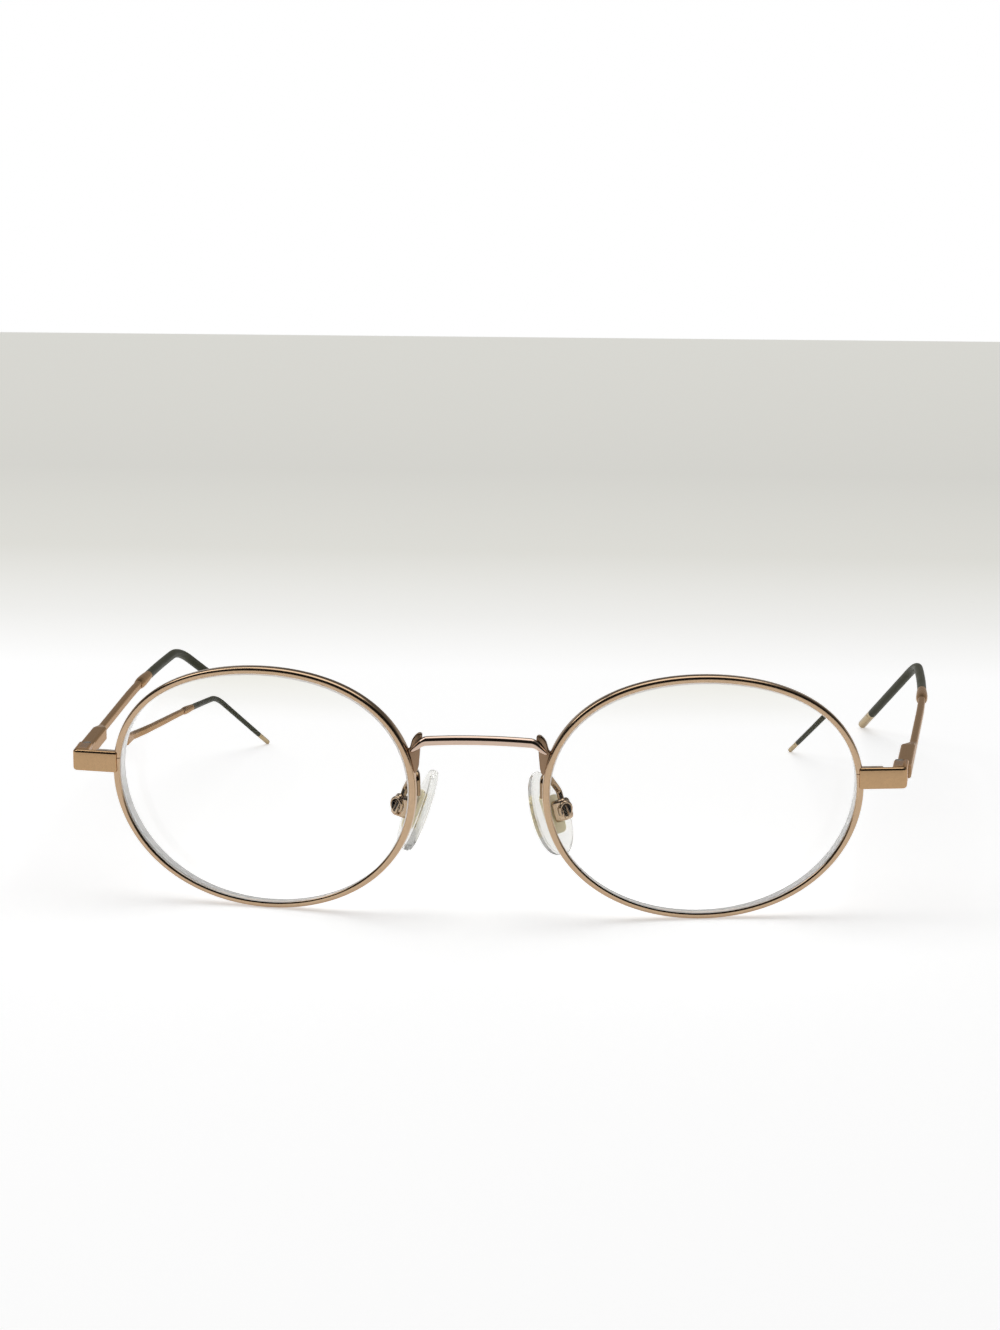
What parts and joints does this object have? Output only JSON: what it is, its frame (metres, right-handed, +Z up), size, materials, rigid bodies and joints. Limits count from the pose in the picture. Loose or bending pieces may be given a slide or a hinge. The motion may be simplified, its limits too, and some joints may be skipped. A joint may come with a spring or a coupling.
{
  "type": "eyeglasses",
  "caption": "Oval full rim metal eyeglasses with clear minus lenses, a slim arched bridge, adjustable nose pads and slender folding temples with dark sleeved tips.",
  "frame": {"origin": "middle of the footprint on the table that the open glasses stand on, at table height", "axes": "+X to the wearer's left, +Y back along the temples, +Z up"},
  "size_m": [0.1382, 0.155, 0.038],
  "materials": {
    "satin_rose_metal": "satin rose gold plate",
    "polished_rose_metal": "polished rose gold plate",
    "temple_metal": "satin rose gold plate, a little browner",
    "cap_gold_metal": "satin gold plate",
    "pad_arm_metal": "bright plate",
    "screw_steel": "plain steel",
    "lens_clear": "clear, polished, anti-reflection coated",
    "sleeve_dark_green": "dark green, polished",
    "pad_clear": "clear soft plastic",
    "insert_cream": "cream moulded plastic"
  },
  "bodies": {
    "front_frame": {"bridge": "polished_rose_metal", "rim_left": "satin_rose_metal", "lens_left": "lens_clear", "endpiece_left": "satin_rose_metal", "hinge_front_left": "satin_rose_metal", "hinge_screw_left": "screw_steel", "closing_block_upper_left": "satin_rose_metal", "closing_block_lower_left": "satin_rose_metal", "rim_screw_left": "screw_steel", "pad_box_left": "pad_arm_metal", "pad_screw_left": "screw_steel", "pad_arm_left": "pad_arm_metal", "rim_right": "satin_rose_metal", "lens_right": "lens_clear", "endpiece_right": "satin_rose_metal", "hinge_front_right": "satin_rose_metal", "hinge_screw_right": "screw_steel", "closing_block_upper_right": "satin_rose_metal", "closing_block_lower_right": "satin_rose_metal", "rim_screw_right": "screw_steel", "pad_box_right": "pad_arm_metal", "pad_screw_right": "screw_steel", "pad_arm_right": "pad_arm_metal"},
    "left_temple": {"temple_left": "temple_metal", "temple_collar_left": "temple_metal", "tip_sleeve_left": "sleeve_dark_green", "end_cap_left": "cap_gold_metal", "hinge_rear_left": "temple_metal"},
    "left_pad": {"nose_pad_left": "pad_clear", "pad_insert_left": "insert_cream"},
    "right_temple": {"temple_right": "temple_metal", "temple_collar_right": "temple_metal", "tip_sleeve_right": "sleeve_dark_green", "end_cap_right": "cap_gold_metal", "hinge_rear_right": "temple_metal"},
    "right_pad": {"nose_pad_right": "pad_clear", "pad_insert_right": "insert_cream"}
  },
  "joints": [
    {"name": "left_temple_fold", "type": "hinge", "parent": "front_frame", "child": "left_temple", "pos_m": [0.0622, -0.06179, 0.02193], "axis": [0, 0, 1], "range_deg": [0, 91]},
    {"name": "left_pad_rock", "type": "hinge", "parent": "front_frame", "child": "left_pad", "pos_m": [0.0119, -0.06986, 0.01644], "axis": [0.4848, 0.8746, 0], "range_deg": [-6, 6]},
    {"name": "right_temple_fold", "type": "hinge", "parent": "front_frame", "child": "right_temple", "pos_m": [-0.0622, -0.06179, 0.02193], "axis": [0, 0, -1], "range_deg": [0, 82]},
    {"name": "right_pad_rock", "type": "hinge", "parent": "front_frame", "child": "right_pad", "pos_m": [-0.01212, -0.06934, 0.01644], "axis": [-0.2756, 0.9613, 0], "range_deg": [-6, 6]}
  ]
}
